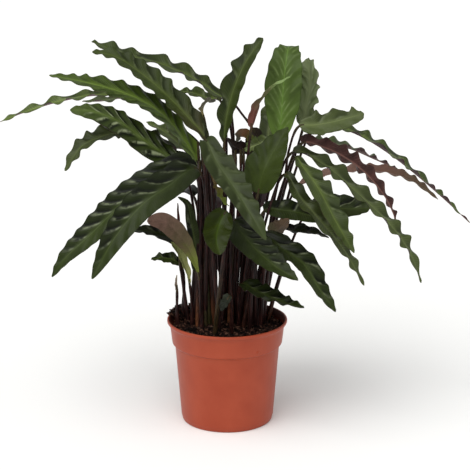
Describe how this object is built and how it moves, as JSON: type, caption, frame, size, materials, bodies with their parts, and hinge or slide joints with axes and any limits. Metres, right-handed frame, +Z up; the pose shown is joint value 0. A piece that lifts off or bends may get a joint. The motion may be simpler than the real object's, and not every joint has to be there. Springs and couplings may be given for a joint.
{
  "type": "potted calathea plant",
  "caption": "Bushy foliage plant with long, narrow, wavy-edged leaves on thin stalks, rooted in peat in a round tapered plastic nursery pot with a deep collar.",
  "frame": {"origin": "centre of the pot's foot, on the surface that it stands on", "axes": "+Z up along the pot's axis, +X to the right and +Y away from the viewer of the picture"},
  "size_m": [0.5625, 0.3263, 0.4441],
  "materials": {
    "pot": "injection moulded, satin",
    "soil": "dark crumbly peat with bark",
    "leaf_dark": "satin leaf, dark green above and wine red below",
    "leaf_green": "satin leaf, mid green above and wine red below",
    "leaf_bright": "satin leaf, fresh green above and wine red below",
    "leaf_grey": "satin leaf, grey green above and wine red below",
    "leaf_red": "satin leaf seen from its wine red underside",
    "leaf_young": "young leaf, pinkish brown and yellow green",
    "leaf_lime": "young leaf, yellow green"
  },
  "bodies": {
    "root": {"pot": "pot", "soil": "soil", "leaf_left_low_front": "leaf_dark", "leaf_left_low": "leaf_dark", "leaf_left_mid": "leaf_dark", "leaf_left_folded": "leaf_grey", "leaf_left_bright": "leaf_bright", "leaf_left_far": "leaf_green", "leaf_upper_left": "leaf_green", "leaf_upper_left_long": "leaf_green", "leaf_behind_left": "leaf_red", "leaf_behind_small": "leaf_green", "leaf_top_tall": "leaf_green", "leaf_top_broad": "leaf_bright", "leaf_top_right": "leaf_grey", "leaf_top_thin": "leaf_red", "leaf_right_upper": "leaf_grey", "leaf_right_far": "leaf_green", "leaf_right_red": "leaf_red", "leaf_right_grey": "leaf_red", "leaf_right_pink": "leaf_young", "leaf_right_long": "leaf_green", "leaf_right_green": "leaf_green", "leaf_right_narrow": "leaf_grey", "leaf_right_dark": "leaf_dark", "leaf_right_dark_mid": "leaf_dark", "leaf_right_dark_low": "leaf_dark", "leaf_right_low": "leaf_dark", "leaf_centre_grey": "leaf_grey", "leaf_centre_green": "leaf_bright", "leaf_centre_small": "leaf_bright", "leaf_centre_lime": "leaf_lime", "leaf_centre_dark": "leaf_dark", "leaf_low_right": "leaf_dark", "leaf_left_low_behind": "leaf_dark", "leaf_left_tiny": "leaf_dark", "leaf_left_dark_back": "leaf_dark", "leaf_young_pink": "leaf_young", "leaf_young_rolled": "leaf_lime", "leaf_shoot_left": "leaf_young", "leaf_stub_left": "leaf_young", "leaf_curled_dark": "leaf_red", "leaf_grey_ruffle": "leaf_grey", "leaf_withered_left": "leaf_young", "leaf_withered_centre": "leaf_young", "leaf_right_tan": "leaf_young", "leaf_low_centre": "leaf_dark", "leaf_back_mid_left": "leaf_dark", "leaf_back_mid_right": "leaf_dark", "leaf_back_low_right": "leaf_dark", "leaf_back_low_left": "leaf_dark", "leaf_back_high_right": "leaf_green", "leaf_back_far_left": "leaf_green", "leaf_back_low_side": "leaf_dark"}
  },
  "joints": []
}
